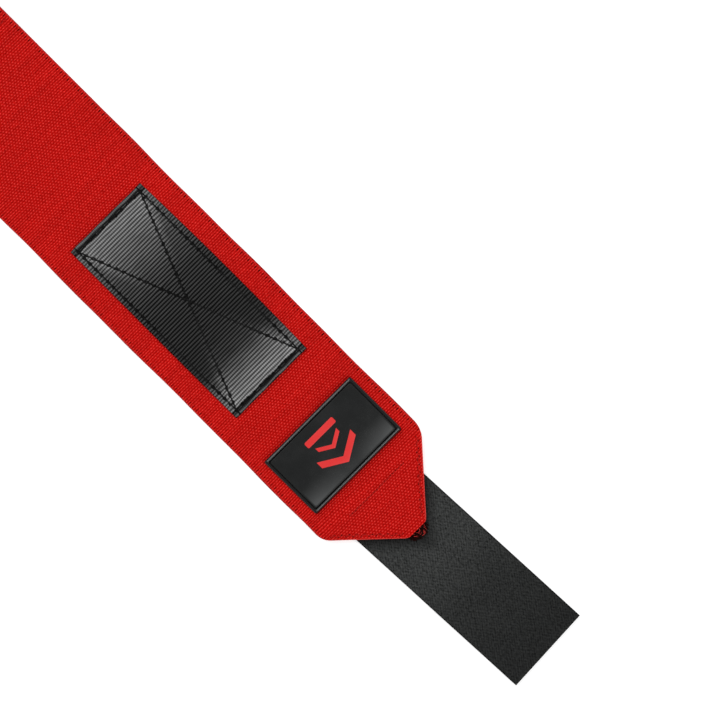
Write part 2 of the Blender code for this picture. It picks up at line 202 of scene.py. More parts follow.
class Look:
    """One material's node tree. Its methods add nodes and return what they give out."""

    def __init__(self, name, roughness, sheen=0.0, specular=0.5, tint=(1.0, 1.0, 1.0)):
        self.material = bpy.data.materials.new(name)
        self.material.use_nodes = True
        self.nodes = self.material.node_tree.nodes
        self.surface = self.nodes["Principled BSDF"].inputs
        settings = {
            "Roughness": roughness,
            "Sheen Weight": sheen,
            "Sheen Roughness": 0.45,
            "Sheen Tint": tint,
            "Specular IOR Level": specular,
            "Specular Tint": tint,
        }
        for name, value in settings.items():
            self.feed(self.surface[name], value)

    def feed(self, socket, value):
        if isinstance(value, Value):
            self.material.node_tree.links.new(value.socket, socket)
        elif isinstance(value, tuple):
            socket.default_value = (*value, 1.0)
        else:
            socket.default_value = value

    def add(self, kind, sockets, output=0, **settings):
        node = self.nodes.new("ShaderNode" + kind)
        for name, setting in settings.items():
            setattr(node, name, setting)
        for socket, value in sockets.items():
            self.feed(node.inputs[socket], value)
        return Value(self, node.outputs[output])

    def math(self, operation, first, second=0.0, third=0.0):
        return self.add("Math", {0: first, 1: second, 2: third}, operation=operation)

    def cloth(self):
        """The piece's own flat coordinates, in metres: along it and across it."""
        source = self.add("UVMap", {}, uv_map="cloth")
        return [self.add("SeparateXYZ", {0: source}, axis) for axis in ("X", "Y")]

    def noise(self, along, across, detail=2.0, rough=0.5):
        """Noise with its own scale along and across the piece, in cells a metre."""
        u, v = self.cloth()
        place = self.add("CombineXYZ", {"X": u * along, "Y": v * across})
        return self.add("TexNoise", {"Vector": place, "Scale": 1.0, "Detail": detail, "Roughness": rough})

    def remap(self, value, old_low, old_high, new_low=0.0, new_high=1.0):
        ends = {"From Min": old_low, "From Max": old_high, "To Min": new_low, "To Max": new_high}
        return self.add("MapRange", {"Value": value, **ends})

    def ramp(self, value, stops):
        """Colours or greys between stops."""
        node = self.nodes.new("ShaderNodeValToRGB")
        elements = node.color_ramp.elements
        while len(elements) < len(stops):
            elements.new(0.5)
        for element, (place, colour) in zip(elements, stops):
            element.position = place
            element.color = (*(colour if isinstance(colour, tuple) else (colour,) * 3), 1.0)
        self.feed(node.inputs["Fac"], value)
        return Value(self, node.outputs["Color"])

    def mix(self, factor, first, second, blend="MIX"):
        sockets = {"Factor": factor, 6: first, 7: second}
        return self.add("Mix", sockets, 2, data_type="RGBA", blend_type=blend)

    def grey(self, value):
        return self.add("CombineColor", {0: value, 1: value, 2: value})

    def shaded(self, colour, shade):
        return self.mix(1.0, colour, self.grey(shade), "MULTIPLY")

    def bump(self, height, distance, before=None):
        sockets = {"Height": height, "Distance": distance}
        if before:
            sockets["Normal"] = before
        return self.add("Bump", sockets)

    def finish(self, colour, roughness=None, normal=None):
        for name, value in (("Base Color", colour), ("Roughness", roughness), ("Normal", normal)):
            if value:
                self.feed(self.surface[name], value)
        return self.material

    def wave(self, value, half_period, phase=0.0):
        return self.math("SINE", value * (math.pi / half_period) + phase)

    def wander(self, value, along, across, reach):
        """The value, moved a little to and fro by slow noise."""
        return value + (self.noise(along, across) - 0.5) * reach


def elastic_material():
    """Red woven elastic: ribs across the band with a row of knuckles on each, a ticked selvedge, and
    painted highlight and shade along its edges.
    """
    look = Look("elastic_red", 0.85, sheen=0.10, specular=0.16, tint=(1.0, 0.10, 0.08))
    along, v = look.cloth()
    inset = HALF_BAND - abs(v)
    u = look.wander(along, 38, 60, 1.1 * MM)
    slid = look.wander(v, 190, 30, 1.3 * MM)
    knuckle = look.wave(u, RIB_PITCH) * look.wave(slid, KNUCKLE)
    rib = look.wave(u, RIB_PITCH / 2, -math.pi / 2)
    fibre = look.noise(3600, 1300, 3, 0.65)
    height = knuckle * look.remap(inset, 16 * MM, 5 * MM, 0.60, 0.26)
    height += rib * look.remap(inset, 16 * MM, 5 * MM, 0.46, 0.58)
    height += fibre * 0.55 + (look.noise(430, 620, 1) - 0.5) * 0.9
    reds = (
        (0.0, (0.230, 0.0008, 0.0005)),
        (0.36, (0.395, 0.0032, 0.0024)),
        (0.66, (0.535, 0.0100, 0.0080)),
        (1.0, (0.770, 0.0460, 0.0390)),
    )
    colour = look.ramp(look.remap(height, -0.76, 1.34), reds)
    lines = look.remap(look.noise(260, 9, 2, 0.6), 0.2, 0.8, 0.91, 1.14)
    cloud = look.remap(look.noise(26, 20), 0.2, 0.8, 0.93, 1.09)
    colour = look.shaded(colour, lines * cloud)

    near = abs(look.math("FRACT", u / (2 * RIB_PITCH)) - 0.5)
    tick = look.remap(inset, 2.75 * MM, 2.45 * MM) * look.remap(inset, 1.05 * MM, 1.35 * MM)
    tick *= look.remap(near, 0.115, 0.070)
    tick *= look.remap(look.noise(310, 2, 1), 0.35, 0.6, 0.35, 1.0)
    tick *= look.remap(v, -1 * MM, 1 * MM, 0.55, 1.0)
    colour = look.mix(tick * 0.93, colour, (0.016, 0.0012, 0.0012))
    # Painted highlight along the rounded selvedge, just inside its edge.
    ridge_highlight = look.remap(inset, 1.0 * MM, 0.75 * MM) * look.remap(inset, 0.30 * MM, 0.5 * MM)
    colour = look.mix(ridge_highlight * 0.5, colour, (0.62, 0.022, 0.018))
    # Painted shade right at the edge.
    rim = look.remap(inset, 0.35 * MM, 0.1 * MM, 0.0, 0.6)
    colour = look.mix(rim, colour, (0.22, 0.002, 0.0018))
    # Painted highlight along the point's slanted edges, where the cloth is turned under.
    left = look.math("GREATER_THAN", v, 0.0)
    slope = left * (POINT_SLOPE[1] - POINT_SLOPE[-1]) + POINT_SLOPE[-1]
    from_slant = (left * POINT_SHIFT[1] + APEX - along) * slope - abs(v)
    fold_highlight = look.remap(from_slant, 0.35 * MM, 1.0 * MM, 0.6, 0.0)
    colour = look.mix(fold_highlight, colour, (0.80, 0.075, 0.065))

    normal = look.bump(height, 0.38 * MM)
    normal = look.bump(tick * -1.0, 0.25 * MM, normal)
    return look.finish(colour, look.remap(fibre, 0.2, 0.8, 0.78, 0.92), normal)


def ribbed_material():
    """Black ribbed webbing, with painted shade between its ribs and along its seams, and painted sheen
    towards its ends.
    """
    look = Look("ribbed_black", 0.6, specular=0.04)
    u, v = look.cloth()
    along, across = abs(u), abs(v)
    from_end = (u + PATCH_HALF_X) / (2 * PATCH_HALF_X)
    # Painted sheen: the webbing is paler towards both ends and darkest in the middle.
    wear_and_sheen = (
        (0.06, 0.225), (0.20, 0.140), (0.30, 0.088), (0.40, 0.050),
        (0.52, 0.037), (0.70, 0.037), (0.79, 0.052), (0.94, 0.255),
    )
    # Painted shade in the valleys between the ribs and painted highlight on their crests; towards the
    # ends the valleys take a share of the painted sheen.
    crest = abs(look.math("SINE", from_end * (math.pi * RIBS)))
    valley = look.remap(along, 15 * MM, 55 * MM, 0.0, 0.22)
    streak = look.noise(1100, 90, 3, 0.6)
    thread = look.wave(look.wander(v, 300, 90, 0.5 * MM), 0.53 * MM)
    shade = look.ramp(from_end, wear_and_sheen) * (crest**2.8 * (1.0 - valley) + valley)
    shade *= look.remap(streak, 0.25, 0.75, 0.68, 1.32)
    shade *= look.remap(thread, -1.0, 1.0, 0.74, 1.26)

    beside = along * PATCH_SLOPE - across
    # Painted shade: the two side triangles between the crossing seams are darker than the end ones, more
    # so towards the ends.
    facet_shade = look.remap(beside, -0.4 * MM, 0.4 * MM, -0.30, 0.0)
    shade *= facet_shade * look.remap(along, 8 * MM, 34 * MM) + 1.0
    # Painted shade along the stitched ends: a dark ragged band by the end seams, lighter at the hem end
    # and darkest at the very edge.
    ragged = look.remap(look.wander(along, 420, 760, 2.2 * MM), PATCH_HALF_X - 5 * MM, PATCH_HALF_X)
    end_seam_shade = ((0.16, 1.0), (0.28, 0.16), (0.40, 0.20), (0.52, 0.40), (0.90, 0.40), (0.95, 0.08))
    hem_side = look.remap(from_end, 0.4, 0.6, 0.46, 0.0)
    shade *= look.math("MAXIMUM", look.ramp(ragged, end_seam_shade), hem_side)
    shade *= seam_shade(look, u, v, beside, from_end)
    rough = look.remap(streak, 0.2, 0.8, 0.52, 0.70)
    return look.finish(look.grey(shade), rough, look.bump(streak + thread * 0.3, 0.07 * MM))


def seam_shade(look, u, v, beside, from_end):
    """Painted shade along the patch's seams, black on the thread and round its holes, and a painted
    highlight on the puckers beside them.
    """
    along, across = abs(u), abs(v)
    cross = abs(beside) / math.hypot(1, PATCH_SLOPE) + look.math("GREATER_THAN", across, PATCH_BOX_Y)
    # Painted shade along each seam line, widest round the needle holes.
    dark = 0.0
    for distance, place, reach, length in (
        (cross, u, PATCH_BOX_X, 2 * math.hypot(PATCH_BOX_X, PATCH_BOX_Y)),
        (abs(across - PATCH_BOX_Y), u, PATCH_BOX_X, 2 * PATCH_BOX_X),
        (abs(along - PATCH_BOX_X), v, PATCH_BOX_Y, 2 * PATCH_BOX_Y),
    ):
        beat = (place + reach) * (round(length / PATCH_PITCH) / (2 * reach))
        hole = look.remap(look.math("PINGPONG", beat, 0.5), 0.06, 0.26, 1.0, 0.0)
        near = distance - hole * (0.6 * MM)
        dark = look.math("MAXIMUM", dark, look.remap(near, 0.28 * MM, 0.6 * MM, 1.0, 0.0))
    # How strong the painted seam shade is along the patch.
    tight = ((0.0, 1.0), (0.48, 0.95), (0.58, 0.35), (0.72, 0.4), (0.84, 1.0))
    patchy = look.noise(420, 420, 1)
    dark *= look.ramp(from_end, tight) * look.remap(patchy, 0.30, 0.46, 0.6, 1.0)
    # Painted highlight on the puckers beside the crossing seams, on the side triangles and towards the
    # ends.
    pucker_highlight = look.remap(cross, 0.5 * MM, 4.5 * MM, 1.0, 0.0)
    pucker_highlight *= look.remap(patchy, 0.4, 0.62, 0.35)
    pucker_highlight *= look.remap(beside, -0.3 * MM, 0.1 * MM, 1.0, 0.15)
    pucker_highlight *= look.remap(along, 14 * MM, 32 * MM)
    return (pucker_highlight * 1.2 + 1.0) * (1.0 - dark * 0.96)


def rubber_grain(look, colour, wear_and_sheen, roughness):
    """Moulded rubber's fine satin grain and faint scuffs: its colour, roughness and bump."""
    scuff = look.noise(60, 60, 4, 0.6)
    tint = look.mix(look.remap(scuff, 0.45, 0.85, 0.0, 0.6), colour, wear_and_sheen)
    rough = look.remap(scuff, 0.3, 0.8, roughness - 0.03, roughness + 0.07)
    return tint, rough, look.bump(look.noise(4200, 4200, 3, 0.6), 0.03 * MM)


def patch_material():
    """The patch's rubber: painted shade makes its stitched groove black, and a painted highlight makes it
    paler towards the tip.
    """
    look = Look("patch_rubber", 0.25)
    tint, rough, normal = rubber_grain(look, (0.0042, 0.0049, 0.0049), (0.010, 0.011, 0.011), 0.25)
    u, v = look.cloth()
    insets = RUBBER_HALF_X - abs(u), RUBBER_HALF_Y - abs(v)
    inset = look.math("SMOOTH_MIN", *insets, 1.6 * RUBBER_CORNER)
    # Painted highlight: paler towards the tip side and its corners, inside the groove.
    tip_side = look.remap(u, 4 * MM, 17 * MM) * look.remap(abs(v), 4 * MM, 26 * MM, 0.45, 1.0)
    tip_highlight = tip_side**1.5 * look.remap(inset, 2.6 * MM, 3.4 * MM)
    tint = look.mix(tip_highlight * 0.8, tint, (0.080, 0.083, 0.083))
    # Painted shade in the stitched groove: near black.
    groove = look.remap(inset, 1.48 * MM, 1.60 * MM) * look.remap(inset, 2.60 * MM, 2.48 * MM)
    tint = look.mix(groove, tint, (0.0004, 0.0004, 0.0004))
    return look.finish(tint, rough + groove * 0.7, normal)


def mark_material():
    look = Look("mark_red", 0.42, specular=0.35)
    return look.finish(*rubber_grain(look, (0.60, 0.020, 0.020), (0.64, 0.030, 0.028), 0.42))


def strap_material():
    """The strap's woven face: a fine mottled weave, near black, darker towards its end and its edges,
    with a painted shadow beside the band's point.
    """
    look = Look("strap_tape_black", 0.85, sheen=0.02, specular=0.08)
    u, v = look.cloth()
    knuckle = look.wave(u, 1.3 * MM) * look.wave(v, 0.92 * MM)
    twill = look.wave(u * 1.3 + look.wander(v, 120, 90, 1.5 * MM), 0.75 * MM)
    grain = look.noise(1500, 1500, 3, 0.7)
    height = (twill + knuckle) * 0.35 + grain * 1.6 + look.noise(620, 760, 2, 0.75) * 4.2
    pale = look.remap(height, 1.8, 4.0, 0.0, 0.85) + look.noise(60, 70, 3, 0.6) * 0.3
    colour = look.ramp(pale, ((0.06, (0.0010, 0.0012, 0.0012)), (0.95, (0.050, 0.052, 0.051))))
    shade = look.ramp(look.remap(u, 0.0, 80 * MM), ((0.1, 1.0), (0.42, 0.62), (0.9, 0.44)))
    shade *= look.remap(STRAP_HALF - abs(v), 0.9 * MM, 0.3 * MM, 1.0, 0.35)
    # Painted shadow beside the band's point, which lies over the strap: darker within 11 mm of the
    # point's edges.
    shade *= look.remap(u + abs(v) + STRAP_TO_APEX, 0.0, 11 * MM, 0.32, 1.0)
    rough = look.remap(grain, 0.2, 0.8, 0.74, 0.92)
    return look.finish(look.shaded(colour, shade), rough, look.bump(height, 0.10 * MM))


def tape_material():
    """The thumb loop's flat tape: a black herringbone."""
    look = Look("loop_tape_black", 0.78, sheen=0.05, specular=0.22)
    u, v = look.cloth()
    grain = look.noise(2600, 2600, 2, 0.6)
    height = look.wave(u + look.math("PINGPONG", v + 1.0, 2.5 * MM), 0.55 * MM) + grain * 0.6
    blacks = ((0.0, (0.0045, 0.0047, 0.0050)), (1.0, (0.030, 0.030, 0.032)))
    colour = look.ramp(look.remap(height, -1.0, 1.6), blacks)
    rough = look.remap(grain, 0.2, 0.8, 0.66, 0.86)
    return look.finish(colour, rough, look.bump(height, 0.16 * MM))


def thread_material(name, dark, light, roughness, specular, tint=(1.0, 1.0, 1.0)):
    """Twisted sewing thread: two plies round each other, with painted shade where it dives into the
    cloth.
    """
    look = Look(name, roughness, specular=specular, tint=tint)
    u, v = look.cloth()
    fuzz = look.noise(3000, 3000, 2, 0.6)
    height = look.wave(u + v, 0.30 * MM) + fuzz * 0.6
    colour = look.ramp(look.remap(height, -0.9, 1.5), ((0.0, dark), (1.0, light)))
    # Painted shade where a stitch dives into the cloth; in the tack, the threads' own darkness.
    hole_shade_and_dark_thread = look.add("Attribute", {}, "Fac", attribute_name="hole_shade_and_dark_thread")
    colour = look.mix(hole_shade_and_dark_thread, colour, (0.0025, 0.0010, 0.0010))
    rough = look.remap(fuzz, 0.2, 0.8, roughness - 0.08, roughness + 0.1)
    return look.finish(colour, rough, look.bump(height, 0.08 * MM))


def hook_material():
    """Moulded nylon hooks: a dull, slightly uneven black."""
    look = Look("hook_black", 0.45, specular=0.4)
    grain = look.noise(900, 900, 3, 0.6)
    colour = look.ramp(grain, ((0.25, (0.006, 0.006, 0.0065)), (0.8, (0.026, 0.026, 0.028))))
    return look.finish(colour, look.remap(grain, 0.2, 0.8, 0.38, 0.6), look.bump(grain, 0.03 * MM))


# ---- meshes


def add_object(name, data):
    thing = bpy.data.objects.new(name, data)
    bpy.context.scene.collection.objects.link(thing)
    return thing


def make_piece(name, points, faces, flat, material, smooth_angle=50, slot=None):
    """An object from points and faces. flat gives each point's own cloth coordinates, in metres.

    The slot argument is not used.
    """
    slot = slot or material.name.split(".")[0]
    mesh = bpy.data.meshes.new(name)
    mesh.from_pydata([tuple(point) for point in points], [], faces)
    layer = mesh.uv_layers.new(name="cloth")
    owners = np.zeros(len(mesh.loops), np.int32)
    mesh.loops.foreach_get("vertex_index", owners)
    layer.data.foreach_set("uv", np.asarray(flat, np.float32)[owners].ravel())
    mesh.shade_smooth()
    mesh.set_sharp_from_angle(angle=math.radians(smooth_angle))
    mesh.materials.append(material)
    piece = add_object(name, mesh)
    return piece


def ring_faces(rings, size, offset=0):
    """Quads between successive rings of points, and a cap on each end."""
    faces = []
    for ring in range(rings - 1):
        here = offset + ring * size
        for place in range(size):
            after = (place + 1) % size
            faces.append((here + place, here + after, here + size + after, here + size + place))
    faces.append(tuple(offset + place for place in reversed(range(size))))
    faces.append(tuple(offset + (rings - 1) * size + place for place in range(size)))
    return faces


def section(columns, edge_steps):
    """One turn round a ribbon's section: (share of the half width, outward edge share, height share).

    It runs across the top, round one edge, back across the bottom and round the other edge.
    """
    turn = []
    for side, start in ((1, 0.0), (-1, math.pi)):
        turn += [(share, 0.0, float(side)) for share in spaced(side, -side, columns)]
        for angle in spaced(start, math.pi - start, edge_steps)[1:-1]:
            turn.append((-side, -side * math.sin(angle), math.cos(angle)))
    return turn


def still(x, y, side=0):
    return 0.0


def ribbon(name, line, thickness, material, columns, sides, rise, edge_steps=6, edge=None, shift=still):
    """A closed strip of cloth along a line of (x, z, distance) points.

    sides(distance) gives the y of its right and its left edge. rise(x, y, side) lifts its points along
    the line's normal, where side is 1 on the outer face and -1 on the inner one. shift(x, y) moves them
    along X.
    """
    line = np.asarray(line, float)
    run = np.gradient(line[:, :2], axis=0)
    run /= np.linalg.norm(run, axis=1)[:, None]
    edge = thickness / 2 if edge is None else edge
    turn = section(columns, edge_steps)
    points, flat = [], []
    for (x, z, distance), (run_x, run_z) in zip(line, run):
        right, left = sides(distance)
        centre, width = (left + right) / 2, (left - right) / 2 - edge
        for share, out, level in turn:
            y = centre + share * width + out * edge
            reach = level * thickness / 2 + rise(x, y, level)
            points.append((x - run_z * reach + shift(x, y), y, z + run_x * reach))
            wrap = math.acos(max(-1.0, min(1.0, level))) if out else 0.0
            wrap = min(wrap, math.pi - wrap) * edge
            flat.append((distance, centre + share * width + math.copysign(wrap, share) if out else y))
    return make_piece(name, points, ring_faces(len(line), len(turn)), flat, material)


def tubes(name, lines, sides, material, slot=None):
    """Many short round threads in one piece. Each line is (points, radii, how dark each point is: painted
    shade at a stitch's ends, dark thread in the tack).
    """
    points, flat, faces, hole_shade_and_dark_thread = [], [], [], []
    for path, radii, shades in lines:
        path = np.asarray(path, float)
        run = np.gradient(path, axis=0)
        run /= np.linalg.norm(run, axis=1)[:, None] + 1e-12
        up = np.array((0.0, 0.0, 1.0)) if abs(run[0][2]) < 0.9 else np.array((1.0, 0.0, 0.0))
        start = len(points)
        distance = 0.0
        for place, (centre, radius) in enumerate(zip(path, radii)):
            if place:
                distance += float(np.linalg.norm(centre - path[place - 1]))
            across = np.cross(run[place], up)
            across /= np.linalg.norm(across) + 1e-12
            up = np.cross(across, run[place])
            for side in range(sides):
                angle = 2 * math.pi * side / sides
                points.append(centre + radius * (math.cos(angle) * across + math.sin(angle) * up))
                flat.append((distance, radius * angle))
                hole_shade_and_dark_thread.append(shades[place])
        faces += ring_faces(len(path), sides, start)
    piece = make_piece(name, points, faces, flat, material, 80, slot)
    layer = piece.data.attributes.new("hole_shade_and_dark_thread", "FLOAT", "POINT")
    layer.data.foreach_set("value", hole_shade_and_dark_thread)
    return piece


def stitch_lines(rows, surface, pitch, radius, seed, sway=0.0):
    """Stitches along straight rows, each a short thread that dives into the cloth at both ends.

    sway sets the needle's holes to the two sides of the row in turn, which makes a narrow zigzag.
    """
    chance = random.Random(seed)
    lines = []
    for start, end in rows:
        start, end = np.asarray(start, float), np.asarray(end, float)
        length = float(np.linalg.norm(end - start))
        run = (end - start) / length
        side = np.array((-run[1], run[0]))
        count = max(1, round(length / pitch))
        holes = []
        for number in range(count + 1):
            offset = (sway if number % 2 else -sway) + chance.uniform(-0.13, 0.13) * MM
            along = length * number / count + chance.uniform(-0.12, 0.12) * MM
            holes.append(start + run * along + side * offset)
        for first, second in zip(holes, holes[1:]):
            size = radius * chance.uniform(0.9, 1.1)
            shadow = chance.uniform(0.35, 1.0)
            path, radii, shades = [], [], []
            for t in spaced(-1, 1, 8):
                spot = (first + second) / 2 + (second - first) * t * 0.49
                sink = 0.5 - abs(t) ** 4
                path.append((spot[0], spot[1], surface(spot[0], spot[1]) + size * sink))
                radii.append(size * (1 - 0.2 * t**6))
                # Painted shade towards each stitch's ends, where it dives into the cloth.
                shades.append(shadow * smoothstep((abs(t) - 0.55) / 0.2))
            lines.append((path, radii, shades))
    return lines


def sew(name, node, body, thread, rows, surface, pitch, radius, seed, sway=0.0):
    """One node's stitches, as a piece that rides on a body."""
    piece = tubes(name, stitch_lines(rows, surface, pitch, radius, seed, sway), 8, thread)
    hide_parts(node)
    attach(piece, body)


# ---- the band's shape


def relief(x, y):
    """The cloth's small waves: slow swells along the band and a finer ripple at its edges."""
    from_hem = smoothstep((x - HEM_END - HEM_DEPTH) / (30 * MM))
    swell = 0.22 * (1 + math.sin(x * 61 + 0.8) * math.cos(y * 31 + x * 12))
    near_edge = smoothstep((abs(y) - HALF_BAND + 12 * MM) / (12 * MM))
    ripple = 0.16 * near_edge * (1 + math.sin(x * 330 + math.sin(x * 47) * 2 + math.copysign(1.3, y)))
    return (from_hem * (swell + ripple) + tip_pucker(x, y)) * MM


def evened(x, side):
    """From a place along the askew point to the same place on an even point with 45 degree edges."""
    return APEX + (x - APEX - POINT_SHIFT[side]) * POINT_SLOPE[side]


def askew(x, side):
    """The other way round: from an even point's place to the askew point's."""
    return APEX + POINT_SHIFT[side] + (x - APEX) / POINT_SLOPE[side]


def tip_pucker(x, y):
    """How the tip's seams draw the cloth down and how it swells beside them, in millimetres."""
    if x < LIFT_END:
        return 0.0
    beside = abs(evened(x, 1 if y > 0 else -1) + abs(y) - TOPSTITCH_LINE) / math.sqrt(2)
    within = smoothstep((ROOT_SEAM_HALF + 2 * MM - abs(y)) / (2 * MM))
    across = abs(x - ROOT_SEAM_X)
    dip = 0.17 * bell(beside, 0.8 * MM) + 0.15 * within * bell(across, 0.8 * MM)
    swell = bell(beside, 3.2 * MM) + within * bell(across, 3.2 * MM)
    return 0.14 * swell - dip


def lift(x):
    return TIP_LIFT * smoothstep((x - LIFT_START) / (LIFT_END - LIFT_START))


def band_surface(x, y):
    """Height of the band's outer face."""
    return lift(x) + BAND_THICK + relief(x, y)


def band_rise(x, y, side):
    return relief(x, y)


def band_half_width(x):
    """Half the band's width at a place along it: straight, then a rounded shoulder, then the point."""
    reach = SHOULDER_RADIUS * math.tan(math.radians(22.5))
    start = SHOULDER - reach
    end = SHOULDER + reach * math.cos(math.radians(45))
    if x <= start:
        return HALF_BAND
    if x < end:
        return HALF_BAND - SHOULDER_RADIUS + math.sqrt(SHOULDER_RADIUS**2 - (x - start) ** 2)
    width = APEX - x
    corner = 2.2 * MM
    close = (x - (TIP_END - corner)) / corner
    if close > 0:
        width -= corner * 0.45 * close**2
    return width


def band_sides(x):
    """The band's right and left edges, which waver a little."""
    waver = 0.22 * MM * smoothstep((SHOULDER - x) / (20 * MM))
    left = waver * (math.sin(x * 52 + 1) + 0.5 * math.sin(x * 133))
    right = waver * (math.sin(x * 47 + 3) + 0.5 * math.sin(x * 121 + 2))
    return -band_half_width(evened(x, -1)) - right, band_half_width(evened(x, 1)) + left


def band_line(start, end, step):
    places = spaced(start, end, round((end - start) / step))
    return [(x, lift(x) + BAND_THICK / 2, x) for x in places]


def hem_line(end):
    """The band's path at the hem: along the under layer, round the fold, and back over the top."""
    under = HEM_END + HEM_DEPTH
    half = HEM_TOP / 2
    turn = half - BAND_THICK / 2
    centre = HEM_END + half
    points = [(x, BAND_THICK / 2) for x in spaced(under, centre, 12)]
    for angle in spaced(0.0, math.pi, 10)[1:-1]:
        points.append((centre - turn * math.sin(angle), half - turn * math.cos(angle)))
    for x in spaced(centre, end, round((end - centre) / BAND_STEP)):
        fall = smoothstep((x - under) / HEM_EASE)
        points.append((x, HEM_TOP - BAND_THICK / 2 - (HEM_TOP - BAND_THICK) * fall))
    line = measured(points)
    return [(x, z, end - line[-1][2] + length) for x, z, length in line]


def measured(points):
    """Each (x, z) point with its distance along the line through them."""
    line = [(*points[0], 0.0)]
    for before, after in zip(points, points[1:]):
        line.append((*after, line[-1][2] + math.dist(before, after)))
    return line


def band_pieces(material):
    tail_middle = (hinge("tail_curl").x + hinge("hem_curl").x) / 2
    cut = PATCH_X
    columns = 44

    def hem_sides(x):
        return -HALF_BAND, HALF_BAND

    def tail_sides(x):
        fade = smoothstep((x - tail_middle) / (20 * MM))
        right, left = band_sides(x)
        return -HALF_BAND + (right + HALF_BAND) * fade, HALF_BAND + (left - HALF_BAND) * fade

    fold = hem_line(tail_middle)
    plain = band_line(tail_middle, cut, BAND_STEP)
    pointed = band_line(cut, LIFT_START, BAND_STEP)[:-1] + band_line(LIFT_START, TIP_END, POINT_STEP)
    hem = ribbon("band_hem_cloth", fold, BAND_THICK, material, columns, hem_sides, band_rise)
    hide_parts("band_hem_panel")
    tail = ribbon("band_tail_cloth", plain, BAND_THICK, material, columns, tail_sides, band_rise)
    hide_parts("band_tail_panel", "band_middle_panel")
    tip = ribbon("band_tip_cloth", pointed, BAND_THICK, material, 2 * columns, band_sides, band_rise)
    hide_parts("band_tip_panel")
    bend(hem)
    bend(tail)
    bend(tip)
    hem_length = fold[-1][2] - fold[0][2]


def bend(piece):
    """Bakes the piece's placement into its points; no bend is made."""
    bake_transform(piece)


# ---- patches


def seam_groove(x, y):
    """How far the landing patch's stitches draw it down at a point, from 0 to 1, and how slack it is."""
    along, across = abs(x - PATCH_X), abs(y)
    cross = abs(across - PATCH_SLOPE * along) / math.hypot(1, PATCH_SLOPE)
    near = min(abs(PATCH_BOX_X - along), abs(PATCH_BOX_Y - across), cross)
    return bell(near, 0.8 * MM), bell(near, 3.6 * MM)


def patch_body(x, y):
    """Height of the landing patch's face over the band, without its ribs."""
    tight, slack = seam_groove(x, y)
    crown = 0.55 * (1 - ((x - PATCH_X) / PATCH_HALF_X) ** 2) + 0.35 * (1 - (y / PATCH_HALF_Y) ** 2)
    crease = 0.10 * math.sin(x * 900 + y * 140) * slack
    return (0.35 + PATCH_THICK / MM + crown - 0.46 * slack - 0.42 * tight + crease) * MM


def patch_surface(x, y):
    return band_surface(x, y) + patch_body(x, y)


def patch_shift(x, y):
    """How far the patch's ribs bend along the wrap: wriggles beside the seams, and a slanted end."""
    slack = seam_groove(x, y)[1]
    wriggle = 0.22 * slack * math.sin(x * 1250 + y * 410)
    slant = 0.45 * y / PATCH_HALF_Y * smoothstep((PATCH_X - x) / PATCH_HALF_X - 0.5)
    return (wriggle + slant) * MM


def patch_sides(distance):
    """The patch's right and left edges. The left one swells out, most a little past the middle."""
    bulge = 1.15 * MM * (1 - ((distance - 10 * MM) / (PATCH_HALF_X + 11 * MM)) ** 2)
    return -PATCH_HALF_Y - bulge * 0.1, PATCH_HALF_Y + bulge


def landing_patch(material, black_thread):
    places = spaced(-PATCH_HALF_X, PATCH_HALF_X, RIBS * 8)
    line = [(PATCH_X + place, BAND_THICK + 0.2 * MM, place) for place in places]

    def rise(x, y, side):
        base = relief(x, y) - 0.1 * MM
        if side <= 0:
            return base + 0.1 * MM
        phase = ((x - PATCH_X) / PATCH_HALF_X + 1) / 2 * RIBS
        rib = abs(math.sin(math.pi * phase)) ** 0.7
        tight, slack = seam_groove(x, y)
        return base + side * (patch_body(x, y) + (rib - 0.75) * 0.42 * MM * (1 - 0.55 * tight))

    shape = (34, patch_sides, rise, 4, 0.35 * MM, patch_shift)
    patch = ribbon("landing_patch_cloth", line, 0.2 * MM, material, *shape)
    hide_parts("landing_patch")
    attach(patch, "middle")

    box = corners(PATCH_X, PATCH_BOX_X, PATCH_BOX_Y)
    box_rows = round_rows(box)
    for side in (-1, 1):
        x = PATCH_X + side * (PATCH_BOX_X + 0.85 * MM)
        box_rows.append(((x, -PATCH_BOX_Y), (x, PATCH_BOX_Y)))
    for part, rows, seed in (("box", box_rows, 11), ("cross", [box[::2], box[1::2]], 12)):
        name = "landing_patch_" + part
        stitching = (black_thread, rows, patch_surface, PATCH_PITCH, 0.34 * MM, seed)
        sew(name + "_stitches", name + "_seam", "middle", *stitching)


def rounded_rectangle(half_x, half_y, radius):
    """Points round a rectangle whose corners are rounded."""
    points = []
    for quarter, (sign_x, sign_y) in enumerate(((1, 1), (-1, 1), (-1, -1), (1, -1))):
        for angle in spaced(math.pi / 2 * quarter, math.pi / 2 * (quarter + 1), 5):
            x = sign_x * (half_x - radius) + radius * math.cos(angle)
            points.append((x, sign_y * (half_y - radius) + radius * math.sin(angle)))
    return points


def pinched(x, y):
    """The rubber patch's sides are drawn in a little between its corners."""
    return RUBBER_X + x * (1 - RUBBER_PINCH * (1 - (y / RUBBER_HALF_Y) ** 2))


